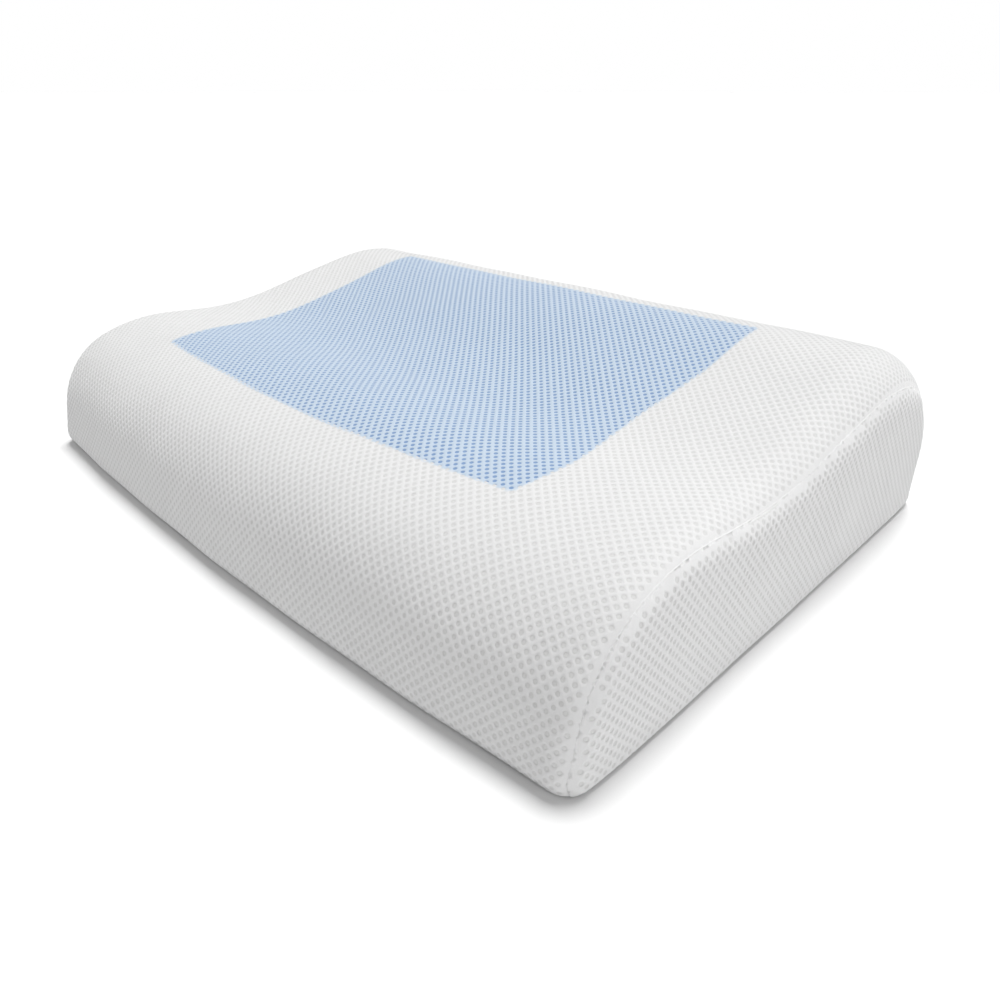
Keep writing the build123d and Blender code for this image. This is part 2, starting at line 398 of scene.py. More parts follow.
class Shader:
    """A node material under construction."""

    def __init__(self, name, **values):
        self.material = bpy.data.materials.new(name)
        self.material.use_nodes = True
        self.tree = self.material.node_tree
        self.bsdf = self.tree.nodes["Principled BSDF"]
        for socket, value in values.items():
            self.bsdf.inputs[socket.replace("_", " ")].default_value = value

    def node(self, kind, inputs=None, **settings):
        made = self.tree.nodes.new(kind)
        for key, value in settings.items():
            setattr(made, key, value)
        for key, value in (inputs or {}).items():
            self.feed(made.inputs[key], value)
        return made

    def feed(self, socket, value):
        if isinstance(value, bpy.types.NodeSocket):
            self.tree.links.new(value, socket)
        else:
            socket.default_value = value

    def math(self, operation, a, b):
        return self.node("ShaderNodeMath", {0: a, 1: b}, operation=operation).outputs[0]

    def weigh(self, a, a_share, b, b_share):
        return self.math("ADD", self.math("MULTIPLY", a, a_share), self.math("MULTIPLY", b, b_share))

    def place(self, scale=(1, 1, 1)):
        where = self.node("ShaderNodeTexCoord").outputs["Object"]
        return self.node("ShaderNodeMapping", {"Vector": where, "Scale": scale}).outputs[0]

    def noise(self, vector, scale, detail=3.0, roughness=0.55):
        return self.node("ShaderNodeTexNoise", {
            "Vector": vector, "Scale": scale, "Detail": detail, "Roughness": roughness}).outputs["Fac"]

    def waves(self, vector, spacing, axis, distortion=0.0, detail=0.0):
        """Parallel ridges, 0.63 of spacing apart."""
        return self.node("ShaderNodeTexWave", {
            "Vector": vector, "Scale": 0.5 / spacing, "Distortion": distortion, "Detail": detail},
            wave_type="BANDS", bands_direction=axis, wave_profile="SIN").outputs["Fac"]

    def ramp(self, factor, low, high):
        return self.node("ShaderNodeMapRange", {
            "Value": factor, "To Min": low, "To Max": high}).outputs["Result"]

    def blend(self, factor, first, second):
        made = self.node("ShaderNodeMix", data_type="RGBA")
        self.feed(made.inputs["Factor"], factor)
        self.feed(made.inputs["A"], (*first, 1) if isinstance(first, tuple) else first)
        self.feed(made.inputs["B"], (*second, 1) if isinstance(second, tuple) else second)
        return made.outputs["Result"]

    def greys(self, factor, low, high):
        return self.blend(factor, (low,) * 3, (high,) * 3)

    def colour(self, socket):
        self.feed(self.bsdf.inputs["Base Color"], socket)

    def rough(self, socket):
        self.feed(self.bsdf.inputs["Roughness"], socket)

    def bump(self, *layers):
        """Stacks (height socket, distance in metres, strength) as bumps."""
        normal = None
        for height, distance, strength in layers:
            made = self.node("ShaderNodeBump", {
                "Height": height, "Distance": distance, "Strength": strength})
            if normal is not None:
                self.feed(made.inputs["Normal"], normal)
            normal = made.outputs[0]
        self.feed(self.bsdf.inputs["Normal"], normal)


# Lit and shaded copies of each yarn colour, blended by the knit material: painted shade between the
# stitches.
LIT_WHITE_YARN = (0.775, 0.775, 0.772)
SHADED_YARN = (0.705, 0.705, 0.707)
LIT_BLUE = (0.53, 0.62, 0.725)
SHADED_BLUE = (0.475, 0.57, 0.685)


def knit_material():
    """White air-mesh knit: fine stitches across the yarn, fuzz and a slight sheen. Its colour blends
    shaded and lit copies of the yarn by the stitches, painted shade between them, and by a random cloud
    of tone; blue copies take over where the gel lies below.
    """
    s = Shader("white air-mesh knit", Roughness=0.82, IOR=1.45, Sheen_Weight=0.25, Sheen_Roughness=0.45)
    flat = s.node("ShaderNodeUVMap", uv_map="cloth").outputs[0]
    courses = s.waves(flat, 0.62 * MM, "Y", 0.6, 1.0)
    wales = s.waves(flat, 0.52 * MM, "X", 0.8, 1.0)
    stitches = s.math("MULTIPLY", courses, wales)
    fuzz = s.noise(s.place(), 2600, 2)
    cloud = s.noise(s.place(), 28, 3)
    # Painted shade between the stitches, mixed with a random cloud of tone.
    painted_shade_and_tone = s.weigh(stitches, 0.35, cloud, 0.65)
    white = s.blend(painted_shade_and_tone, SHADED_YARN, LIT_WHITE_YARN)
    glow = s.node("ShaderNodeAttribute", attribute_name="gel_below").outputs["Fac"]
    s.colour(s.blend(glow, white, s.blend(painted_shade_and_tone, SHADED_BLUE, LIT_BLUE)))
    s.rough(s.ramp(fuzz, 0.72, 0.92))
    s.bump((stitches, 0.10 * MM, 0.7), (fuzz, 0.06 * MM, 0.5))
    return s.material


def foam_material():
    """White open-cell foam, coloured a little darker than the yarn: painted shade at the bottom of the
    knit's holes.
    """
    s = Shader("open-cell foam", Roughness=0.95, IOR=1.4)
    cells = s.node("ShaderNodeTexVoronoi", {"Vector": s.place(), "Scale": 1900.0}, feature="F1")
    cells = cells.outputs["Distance"]
    pores = s.noise(s.place(), 420, 4)
    # A grey darker than the yarn: painted shade at the bottom of the knit's holes.
    s.colour(s.blend(cells, (0.70, 0.70, 0.695), (0.62, 0.62, 0.615)))
    s.bump((cells, 0.16 * MM, 0.7), (pores, 0.12 * MM, 0.5))
    return s.material


def gel_material():
    """Blue cooling gel: a soft clouded sheet with a dull shine."""
    s = Shader("blue cooling gel", Roughness=0.5, IOR=1.4, Coat_Weight=0.12, Coat_Roughness=0.35)
    cloud = s.noise(s.place(), 24, 3)
    grain = s.noise(s.place(), 700, 2)
    s.colour(s.blend(cloud, (0.16, 0.27, 0.47), (0.21, 0.33, 0.54)))
    s.rough(s.ramp(grain, 0.42, 0.6))
    s.bump((grain, 0.05 * MM, 0.4),)
    return s.material


def base_material():
    """Plain white warp-knit of the bottom panel: fine ribs crossed by courses."""
    s = Shader("white base knit", Roughness=0.85, Sheen_Weight=0.2, Sheen_Roughness=0.5)
    where = s.place()
    ribs = s.waves(where, 1.1 * MM, "X", 0.5, 1.0)
    courses = s.waves(where, 0.8 * MM, "Y", 0.9, 1.0)
    weave = s.weigh(ribs, 0.6, courses, 0.4)
    cloud = s.noise(where, 30, 3)
    # Colour darker where the ribs and courses dip: painted shade in the weave's grooves, mixed with a
    # random cloud of tone.
    painted_shade_and_tone = s.weigh(weave, 0.5, cloud, 0.5)
    s.colour(s.blend(painted_shade_and_tone, (0.66, 0.66, 0.665), (0.80, 0.80, 0.80)))
    s.bump((weave, 0.22 * MM, 0.8), (s.noise(where, 2600, 2), 0.06 * MM, 0.4))
    return s.material


def thread_material():
    """Twisted white polyester thread."""
    s = Shader("white thread", Roughness=0.5, Sheen_Weight=0.3, Sheen_Roughness=0.4)
    where = s.place()
    plies = s.node("ShaderNodeTexWave", {"Vector": where, "Scale": 900.0, "Distortion": 1.5},
                   wave_type="BANDS", bands_direction="DIAGONAL").outputs["Fac"]
    # Darker in the grooves between the plies: painted shade.
    s.colour(s.greys(plies, 0.70, 0.86))
    s.bump((plies, 0.08 * MM, 0.7), (s.noise(where, 4000, 2), 0.03 * MM, 0.5))
    return s.material


def tape_material():
    """Woven white polyester zip tape."""
    s = Shader("woven zip tape", Roughness=0.7, Sheen_Weight=0.2, Sheen_Roughness=0.4)
    where = s.place()
    warp = s.waves(where, 0.7 * MM, "Z", 0.2)
    weft = s.waves(where, 0.5 * MM, "X", 0.3)
    weave = s.math("MULTIPLY", warp, weft)
    # Darker where warp and weft dip: painted shade in the weave's hollows.
    s.colour(s.blend(weave, (0.66, 0.66, 0.67), (0.82, 0.82, 0.82)))
    s.bump((weave, 0.12 * MM, 0.9), (s.noise(where, 3000, 2), 0.04 * MM, 0.5))
    return s.material


def nylon_material():
    """White nylon monofilament of the coil."""
    s = Shader("nylon coil", Roughness=0.32, IOR=1.53, Coat_Weight=0.2, Coat_Roughness=0.2)
    streak = s.noise(s.place((1, 6, 6)), 900, 2)
    s.colour(s.blend(streak, (0.76, 0.765, 0.77), (0.84, 0.84, 0.845)))
    s.bump((streak, 0.03 * MM, 0.4),)
    return s.material


def metal_material():
    """White enamel over die-cast metal: fine orange peel, slightly worn gloss."""
    s = Shader("enamelled metal", Roughness=0.3, IOR=1.5, Coat_Weight=0.5, Coat_Roughness=0.12)
    peel = s.noise(s.place(), 1400, 2)
    wear = s.noise(s.place(), 260, 4)
    s.colour(s.blend(wear, (0.77, 0.775, 0.78), (0.83, 0.83, 0.835)))
    s.rough(s.ramp(wear, 0.22, 0.42))
    s.bump((peel, 0.03 * MM, 0.35),)
    return s.material


def satin_material():
    """Blank woven satin: long floats across the label."""
    s = Shader("label satin", Roughness=0.42, Sheen_Weight=0.4, Sheen_Roughness=0.3, Anisotropic=0.5)
    where = s.place()
    floats = s.waves(where, 0.35 * MM, "Z", 0.3)
    grain = s.noise(s.place((1, 1, 14)), 500, 2)
    s.colour(s.greys(grain, 0.78, 0.87))
    s.bump((floats, 0.06 * MM, 0.7), (grain, 0.03 * MM, 0.4))
    return s.material


MATERIALS = {
    "mesh_knit": knit_material(), "foam": foam_material(), "gel": gel_material(),
    "base_cloth": base_material(), "thread": thread_material(), "zip_tape": tape_material(),
    "zip_nylon": nylon_material(), "zip_metal": metal_material(), "label_satin": satin_material()}


# ---------------- cover wrap

skin = Skin()


def gel_rows(x):
    """Flat rows of the gel pad's front and back edge at x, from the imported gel."""
    middle = (GEL_LOW.x + GEL_HIGH.x) / 2
    half = (GEL_HIGH.x - GEL_LOW.x) / 2
    bow = GEL_BOW * (1 - np.minimum(np.abs((x - middle) / half), 1) ** 2)
    profile = skin.points[len(skin.p) // 2]
    upper = profile[:, 2] > LOBE_Z / 2
    front = np.interp(GEL_LOW.y + GEL_BOW - bow, profile[upper, 1], skin.s[upper]) - GEL_EASE
    back = np.interp(GEL_HIGH.y + 0 * x, profile[upper, 1], skin.s[upper])
    return front, back


def gel_ends(share):
    """Where the pad's swaying left and right edges lie, at a share of the way from front to back."""
    sway = spline_matrix(np.array(GEL_SWAY_AT), np.clip(share, 0, 1).reshape(-1))
    left, right = GEL_LOW.x + sway @ GEL_LEFT_SWAY, GEL_HIGH.x + sway @ GEL_RIGHT_SWAY
    return left.reshape(share.shape), right.reshape(share.shape)


def gel_margin(p, s):
    """How far flat points lie inside the gel pad's rounded outline."""
    front, back = gel_rows(p)
    left, right = gel_ends((s - front) / (back - front))
    ends = np.minimum(p - left, right - p)
    sides = np.minimum(s - front, back - s)
    corner = GEL_CORNER - np.hypot(np.maximum(GEL_CORNER - ends, 0), np.maximum(GEL_CORNER - sides, 0))
    return np.where((ends < GEL_CORNER) & (sides < GEL_CORNER), corner, np.minimum(ends, sides))


def over_gel(flat):
    """1 where the cloth lies on the gel, 0 elsewhere, with a soft edge one strand wide."""
    return np.clip(0.5 + gel_margin(flat[:, 0], flat[:, 1]) / (0.8 * MM), 0, 1)


def set_uv(piece, flat):
    """Stores flat cloth coordinates as a UV layer called cloth."""
    mesh = piece.data
    layer = mesh.uv_layers.new(name="cloth")
    corner = np.zeros(len(mesh.loops), dtype=np.int32)
    mesh.loops.foreach_get("vertex_index", corner)
    layer.data.foreach_set("uv", flat[corner].astype(np.float32).reshape(-1))


def build_wrap():
    """The knit wrap, split along rows of holes into four bands: (piece, flat size) for each."""
    def clamp(flat):
        s = np.clip(flat[:, 1], 0, skin.length)
        reach = skin.reach_at(s)
        return np.stack([np.clip(flat[:, 0], -reach, reach), s], -1)

    def clearance(flat):
        s = np.clip(flat[:, 1], 0, skin.length)
        sides = skin.reach_at(s) - np.abs(flat[:, 0])
        return np.minimum(sides, np.minimum(flat[:, 1], skin.length - flat[:, 1]))

    far = skin.reach.max()
    flat, height, faces, across = knit_panel((-far, 0), (far, skin.length), clamp, clearance)
    points = skin.place(flat[:, 0], flat[:, 1], height)
    points, faces, across, kept = tidy_mesh(points, faces, across)
    flat = flat[kept]
    pieces = []
    cuts = np.quantile(across, [0, 0.25, 0.5, 0.75, 1])
    names = ("cover_front", "cover_neck", "cover_crown", "cover_back")
    for name, low, high in zip(names, cuts[:-1], cuts[1:]):
        chosen = (across >= low) & ((across < high) | (high == cuts[-1]))
        used, part_faces = np.unique(faces[chosen], return_inverse=True)
        piece = mesh_from(name, points[used], part_faces.reshape(-1, 4))
        set_uv(piece, flat[used])
        add_attribute(piece, "gel_below", over_gel(flat[used]))
        finish_piece(piece, "mesh_knit", ["cover_wrap"])
        rows = flat[used][:, 1]
        pieces.append((piece, (2 * far, rows.max() - rows.min())))
    return pieces


wrap_pieces = build_wrap()


# ---------------- lower back, base and ends

BACK_P = HALF_LENGTH - BACK_RADIUS + BACK_RADIUS * end_turn(BACK_RADIUS)


def tuck_in(z):
    """How far a wall turns under just above the floor."""
    below = np.clip(TUCK_RADIUS - z, 0, TUCK_RADIUS)
    return 0.9 * (TUCK_RADIUS - np.sqrt(TUCK_RADIUS**2 - below**2))


def back_wall(p, z):
    """World points of the back's lower wall at flat distance p and height z."""
    turn = np.clip((np.abs(p) - (HALF_LENGTH - BACK_RADIUS)) / BACK_RADIUS, 0, end_turn(BACK_RADIUS))
    x = np.sign(p) * (np.minimum(np.abs(p), HALF_LENGTH - BACK_RADIUS) + BACK_RADIUS * np.sin(turn))
    inward = BACK_RADIUS * (1 - np.cos(turn)) + tuck_in(z) * np.cos(turn)
    return np.stack([x, BACK_Y - inward, z], -1)


def seam_loop():
    """The end seam from front foot to back foot: its (y, z), its rounding radii, and each side's pull."""
    s = np.arange(0, skin.length, 2 * MM)
    reach = skin.reach_at(s)
    wrap = skin.sample(skin.points, reach, s)
    z = np.linspace(ZIP_Z + HEM_HALF, FLOOR_GAP, 14)
    strip = back_wall(np.full_like(z, BACK_P), z)
    radius = np.concatenate([np.interp(s, skin.s, skin.radius), np.full_like(z, BACK_RADIUS)])
    drawn = {side: np.concatenate([skin.place(side * reach, s, 0 * s) * (side, 1, 1) - wrap, 0 * strip])
             for side in (LEFT, RIGHT)}
    return np.concatenate([wrap, strip])[:, 1:], radius, drawn


LOOP, LOOP_RADIUS, SEAM_PULL = seam_loop()
FLOOR_LINE = np.linspace(LOOP[-1], LOOP[0], 150)[1:-1]
OUTLINE = np.concatenate([LOOP, FLOOR_LINE])


def nearest(flat, line, closed=True):
    """(distance, nearest point, index) from flat points to a polyline."""
    ends = np.roll(line, -1, 0) if closed else line[1:]
    starts = line if closed else line[:-1]
    run = ends - starts
    length2 = (run**2).sum(-1)
    best = np.full(len(flat), np.inf)
    where = np.zeros_like(flat)
    index = np.zeros(len(flat), dtype=int)
    for low in range(0, len(flat), 4000):
        part = flat[low:low + 4000]
        t = np.clip(((part[:, None] - starts) * run).sum(-1) / length2, 0, 1)
        foot = starts + t[..., None] * run
        distance = np.linalg.norm(part[:, None] - foot, axis=-1)
        pick = distance.argmin(1)
        rows = np.arange(len(part))
        best[low:low + 4000], where[low:low + 4000] = distance[rows, pick], foot[rows, pick]
        index[low:low + 4000] = pick
    return best, where, index


def inside(flat, line):
    """Whether flat points lie inside a closed polyline."""
    a, b = line, np.roll(line, -1, 0)
    y, z = flat[:, None, 0], flat[:, None, 1]
    crosses = (a[:, 1] > z) != (b[:, 1] > z)
    slope = (b[:, 0] - a[:, 0]) / np.where(b[:, 1] == a[:, 1], 1, b[:, 1] - a[:, 1])
    return (crosses & (y < a[:, 0] + (z - a[:, 1]) * slope)).sum(1) % 2 == 1


def end_x(flat):
    """How far out the end panel stands at flat points (y, z)."""
    distance, _, index = nearest(flat, LOOP, closed=False)
    radius = LOOP_RADIUS[index]
    left = np.maximum(radius * np.cos(end_turn(radius)) - distance, 0)
    x = HALF_LENGTH - radius + np.sqrt(radius**2 - left**2)
    x += END_BULGE * (1 - np.exp(-distance / (22 * MM)))
    x += FOOT_FLARE * np.exp(-flat[:, 1] / (20 * MM)) * (1 - np.exp(-distance / (9 * MM)))
    x -= tuck_in(flat[:, 1]) * (1 - np.exp(-distance / (4 * MM)))
    return x


def build_end(side, name, node):
    """One knit end panel over flat coordinates (y, z), its rim drawn in just as the wrap's edge is."""
    def clamp(flat):
        out = ~inside(flat, OUTLINE)
        flat = flat.copy()
        flat[out] = nearest(flat[out], OUTLINE)[1]
        return flat

    def clearance(flat):
        distance = nearest(flat, OUTLINE)[0]
        near_heel = np.exp(-(np.hypot(*(flat - LOOP[-1]).T) / HEEL_REACH) ** 2)
        return np.where(inside(flat, OUTLINE), distance - HEEL_CLOSED * near_heel, -distance)

    flat, height, faces, across = knit_panel(OUTLINE.min(0), OUTLINE.max(0), clamp, clearance)
    distance, foot, index = nearest(flat, LOOP, closed=False)
    raised = height + END_SOFTNESS * softness(*flat.T) - seam_pinch(distance, flat.sum(1))
    base = np.column_stack([end_x(flat), flat])
    step = np.linalg.norm(LOOP[index + 1] - LOOP[index], axis=1)
    part = (np.linalg.norm(foot - LOOP[index], axis=1) / step)[:, None]
    drawn = SEAM_PULL[side][index] * (1 - part) + SEAM_PULL[side][index + 1] * part
    normal = vertex_normals(base, faces)
    normal[normal[:, 0] < 0] *= -1
    at_seam = np.exp(-(distance / DRAWN_WIDTH) ** 2)[:, None]
    points = base + at_seam * drawn + (1 - at_seam) * normal * raised[:, None]
    points[:, 2] = np.maximum(points[:, 2], LEAST_HEIGHT)
    points, faces, across, kept = tidy_mesh(points, faces, across)
    flat = flat[kept]
    points[:, 0] *= side
    if side < 0:
        faces = faces[:, ::-1]
    piece = mesh_from(name, points, faces)
    set_uv(piece, flat)
    return finish_piece(piece, "mesh_knit", [node])


end_pieces = [build_end(RIGHT, "end_panel_right", "cover_end_right"),
              build_end(LEFT, "end_panel_left", "cover_end_left")]


def grid_faces(columns, rows):
    """Quads of a grid whose points run row by row within each column."""
    i, j = np.meshgrid(np.arange(columns - 1), np.arange(rows - 1), indexing="ij")
    a = (i * rows + j).reshape(-1)
    return np.stack([a, a + rows, a + rows + 1, a + 1], -1)


def even_turns(count):
    """Numbers from -1 to 1, closer together towards both ends."""
    return np.sin(np.linspace(-math.pi / 2, math.pi / 2, count))


def build_base():
    """The base cloth: the underside, flat but for a rim that rises to meet the walls."""
    u = even_turns(300)
    front = side_points(u * skin.reach[0])[0][0]
    back = back_wall(u * BACK_P, np.full_like(u, FLOOR_GAP))
    across = 0.5 + 0.5 * even_turns(130)[None, :, None]
    under = front[:, None] * (1 - across) + back[:, None] * across
    rim = np.minimum(across, 1 - across)[..., 0] * (BACK_Y - FRONT_Y)
    end = SEAM_X - np.abs(under[..., 0])
    lift = np.exp(-np.minimum(rim, end) / RIM_WIDTH)
    under[..., 2] = UNDERSIDE_Z + (FLOOR_GAP - UNDERSIDE_Z) * lift
    for column, side in ((0, LEFT), (-1, RIGHT)):
        y = under[column, :, 1]
        under[column, :, 0] = side * end_x(np.column_stack([y, np.full_like(y, FLOOR_GAP)]))
    piece = mesh_from("base_cloth", under.reshape(-1, 3), grid_faces(*under.shape[:2])[:, ::-1])
    finish_piece(piece, "base_cloth", ["cover_bottom"])
    return piece, (2 * SEAM_X, BACK_Y - FRONT_Y - 2 * BASE_INSET)


def build_back_strip():
    """Cloth below the zip and beyond its ends, folded in along the opening."""
    low_edge, high_edge = ZIP_Z - HEM_HALF, ZIP_Z + HEM_HALF
    upright = np.linspace(FLOOR_GAP, low_edge - HEM_FOLD, 22)
    rise = np.concatenate([upright, low_edge - HEM_FOLD * np.array([0.6, 0.25, 0.03, 0])])
    inward = np.concatenate([0 * upright, HEM_FOLD * np.array([0.08, 0.35, 0.75, 1.3])])
    p = skin.p[np.abs(skin.p) <= np.interp(skin.length, skin.s, skin.reach)]
    strip = back_wall(p[:, None] + 0 * rise, rise + 0 * p[:, None])
    strip[..., 1] -= inward
    cut = (2 * p.max(), np.hypot(np.diff(rise), np.diff(inward)).sum())
    pieces = [(mesh_from("back_strip", strip.reshape(-1, 3), grid_faces(*strip.shape[:2])[:, ::-1]), cut)]
    for side, name in ((RIGHT, "zip_end_cloth_right"), (LEFT, "zip_end_cloth_left")):
        rim = OPENING_HALF - PATCH_OVER_TAPE
        q = side * np.linspace(rim, p.max(), 30)
        z = np.linspace(low_edge - PATCH_OVERLAP, high_edge + PATCH_OVERLAP, 12)
        patch = back_wall(q[:, None] + 0 * z, z + 0 * q[:, None])
        patch[..., 1] -= PATCH_DROP
        patch[0, :, 1] -= PATCH_FOLD
        faces = grid_faces(*patch.shape[:2])
        piece = mesh_from(name, patch.reshape(-1, 3), faces[:, ::-1] if side > 0 else faces)
        pieces.append((piece, (p.max() - rim, z[-1] - z[0])))
    for piece, _ in pieces:
        finish_piece(piece, "base_cloth")
    return pieces


base_piece, base_flat = build_base()
strip_pieces = build_back_strip()


# ---------------- foam and gel

def build_gel():
    """The gel pad: a thin slab laid in the top of the foam, its corners rounded."""
    corner_steps = np.linspace(0, GEL_CORNER, 9)
    columns = np.unique(np.concatenate([
        GEL_LOW.x + corner_steps, np.linspace(GEL_LOW.x + GEL_CORNER, GEL_HIGH.x - GEL_CORNER, 160),
        GEL_HIGH.x - corner_steps]))
    front, back = gel_rows(columns)
    ends = np.minimum(columns - GEL_LOW.x, GEL_HIGH.x - columns)
    short = np.maximum(GEL_CORNER - ends, 0)
    cut = GEL_CORNER - np.sqrt(GEL_CORNER**2 - np.minimum(short, 0.98 * GEL_CORNER) ** 2)
    front, back = front + cut, back - cut
    rows = np.linspace(0, 1, 130)
    s = front[:, None] * (1 - rows) + back[:, None] * rows
    left, right = gel_ends(rows)
    p = left + (columns[:, None] - GEL_LOW.x) / (GEL_HIGH.x - GEL_LOW.x) * (right - left)
    depth = (back - front)[:, None]
    edge = np.minimum.reduce([rows * depth, (1 - rows) * depth, ends[:, None] + 0 * rows])
    roll = GEL_ROLL * np.exp(-edge / GEL_ROLL)
    top = skin.place(p, s, -GEL_UNDER - roll)
    bottom = skin.place(p, s, np.full(p.shape, -GEL_UNDER - GEL_THICKNESS))
    count = top.size // 3
    faces = grid_faces(*p.shape)
    ids = np.arange(count).reshape(p.shape)
    ring = np.concatenate([ids[:, 0], ids[-1, 1:], ids[-2::-1, -1], ids[0, -2:0:-1]])
    wall = np.stack([ring, ring + count, np.roll(ring, -1) + count, np.roll(ring, -1)], -1)
    faces = np.concatenate([faces, faces[:, ::-1] + count, wall])
    piece = mesh_from("gel_sheet", np.concatenate([top.reshape(-1, 3), bottom.reshape(-1, 3)]), faces)
    finish_piece(piece, "gel", ["gel_pad"])


def build_foam():
    """The foam block under the cover, hollowed where the gel lies."""
    u = np.concatenate([np.linspace(-1, -0.86, 40)[:-1], np.linspace(-0.86, 0.86, 150),
                        np.linspace(0.86, 1, 40)[1:]])
    s = np.linspace(0, skin.length, 250)
    reach = skin.reach_at(s)
    p = u[:, None] * reach
    over = s + 0 * p
    depth = FOAM_UNDER + GEL_BED * np.clip((gel_margin(p, over) - GEL_BED_INSET) / GEL_BED_SLOPE, 0, 1)
    wrap = skin.place(p, over, -depth)
    z = np.linspace(ZIP_Z + HEM_HALF - 1 * MM, 2 * FOAM_FOOT, 12)
    wall_p = u[:, None] * BACK_P + 0 * z
    wall = back_wall(wall_p, z + 0 * wall_p)
    behind_zip = np.clip((OPENING_HALF + 8 * MM - np.abs(wall_p)) / (6 * MM), 0, 1)
    wall[..., 1] -= FOAM_UNDER + FOAM_BACK_GAP + FOAM_ZIP_GAP * behind_zip
    wrap[..., 2] = np.maximum(wrap[..., 2], FOAM_FOOT)
    foot = np.linspace(0, 1, 60)[1:-1, None]
    under = wall[:, -1:] * (1 - foot) + wrap[:, :1] * foot
    body = np.concatenate([wrap, wall, under], axis=1)
    columns, rows = body.shape[:2]
    body_ids = np.arange(columns * rows).reshape(columns, rows)
    closing = np.stack([body_ids[:-1, -1], body_ids[1:, -1], body_ids[1:, 0], body_ids[:-1, 0]], -1)
    faces = [grid_faces(columns, rows), closing]
    points = [body.reshape(-1, 3)]
    total = columns * rows
    for column, side in ((0, LEFT), (columns - 1, RIGHT)):
        loop = body[column]
        centre = np.array([(FRONT_Y + BACK_Y) / 2, 42 * MM])
        previous = body_ids[column]
        for shrink in FOAM_CAP_RINGS:
            ring = centre + (loop[:, 1:] - centre) * shrink
            away = nearest(ring, LOOP, closed=False)[0]
            x = end_x(ring) - END_FOAM_UNDER - seam_pinch(away, ring.sum(1))
            x += END_SOFTNESS * softness(*ring.T)
            ids = total + np.arange(rows)
            points.append(np.column_stack([side * x, ring]))
            total += rows
            band = np.stack([previous, ids, np.roll(ids, -1), np.roll(previous, -1)], -1)
            faces.append(band if side < 0 else band[:, ::-1])
            previous = ids
        hub = np.full(rows, total)
        points.append([[side * x.mean(), *centre]])
        total += 1
        fan = np.stack([previous, hub, hub, np.roll(previous, -1)], -1)
        faces.append(fan if side < 0 else fan[:, ::-1])
    piece = mesh_from("foam_block", np.concatenate(points), np.concatenate(faces))
    finish_piece(piece, "foam", ["foam_core"])


build_gel()
build_foam()


# ---------------- seams

def frames_along(path):
    """Unit directions along a polyline."""
    along = np.gradient(path, axis=0)
    return along / np.maximum(np.linalg.norm(along, axis=1, keepdims=True), 1e-12)


def tube(path, out, radius, sides=6):
    """Points and quads of a tube along path, out being a direction square to it at every point."""
    along = frames_along(path)
    out = out - (out * along).sum(-1, keepdims=True) * along
    out /= np.linalg.norm(out, axis=1, keepdims=True)
    other = np.cross(along, out)
    turn = 2 * math.pi * np.arange(sides) / sides
    radius = np.broadcast_to(radius, len(path))[:, None, None]
    ring = out[:, None] * np.cos(turn)[:, None] + other[:, None] * np.sin(turn)[:, None]
    points = (path[:, None] + ring * radius).reshape(-1, 3)
    ids = np.arange(len(path) * sides).reshape(len(path), sides)
    a, b = ids[:-1], ids[1:]
    faces = np.stack([a, np.roll(a, -1, 1), np.roll(b, -1, 1), b], -1).reshape(-1, 4)
    caps = [np.stack([np.full(sides - 2, row[0]), row[1:-1], row[2:], row[2:]], -1)
            for row in (ids[0][::-1], ids[-1])]
    return points, np.concatenate([faces, *caps])


def join(parts):
    """Several (points, faces) as one."""
    points, faces, start = [], [], 0
    for part_points, part_faces in parts:
        points.append(part_points)
        faces.append(part_faces + start)
        start += len(part_points)
    return np.concatenate(points), np.concatenate(faces)


def stitches(path, out, length=STITCH_LENGTH, gap=STITCH_GAP, radius=THREAD_RADIUS):
    """A row of separate lockstitches laid along a path; each dips into the cloth at both ends."""
    arc = np.concatenate([[0], np.cumsum(np.linalg.norm(np.diff(path, axis=0), axis=1))])
    count = max(int(arc[-1] / (length + gap)), 1)
    pitch = arc[-1] / count
    along = np.linspace(-0.5, 0.5, 7)
    rise = np.sqrt(np.maximum(1 - (2 * along) ** 4, 0)) * 1.6 - 1.1
    parts = []
    for k in range(count):
        at = (k + 0.5) * pitch + along * length
        points = np.stack([np.interp(at, arc, path[:, axis]) for axis in range(3)], -1)
        normal = np.stack([np.interp(at, arc, out[:, axis]) for axis in range(3)], -1)
        parts.append(tube(points + normal * (rise * radius)[:, None], normal, radius))
    return join(parts)


def build_end_seam(side, name, node):
    """Fine stitches in the crease round an end panel, over the closed edges of the cloth."""
    s = np.arange(0, skin.length, 1 * MM)
    reach = skin.reach_at(s)
    wrap = skin.place(side * reach, s, 0 * s) * (side, 1, 1)
    z = np.linspace(ZIP_Z + HEM_HALF, 1.5 * MM, 26)
    strip = back_wall(np.full_like(z, BACK_P), z)
    path = np.concatenate([wrap, strip])
    away = path[:, 1:] - LOOP.mean(0)
    out = np.column_stack([np.full(len(path), 0.75), away / np.linalg.norm(away, axis=1, keepdims=True)])
    out /= np.linalg.norm(out, axis=1, keepdims=True)
    path[:, 0] *= side
    out[:, 0] *= side
    backing = tube(path - out * BACKING_RADIUS, out, BACKING_RADIUS)
    seam = join([stitches(path, out, 2.2 * MM, 0.8 * MM, 0.12 * MM), backing])
    finish_piece(mesh_from(name, *seam), "thread", [node])


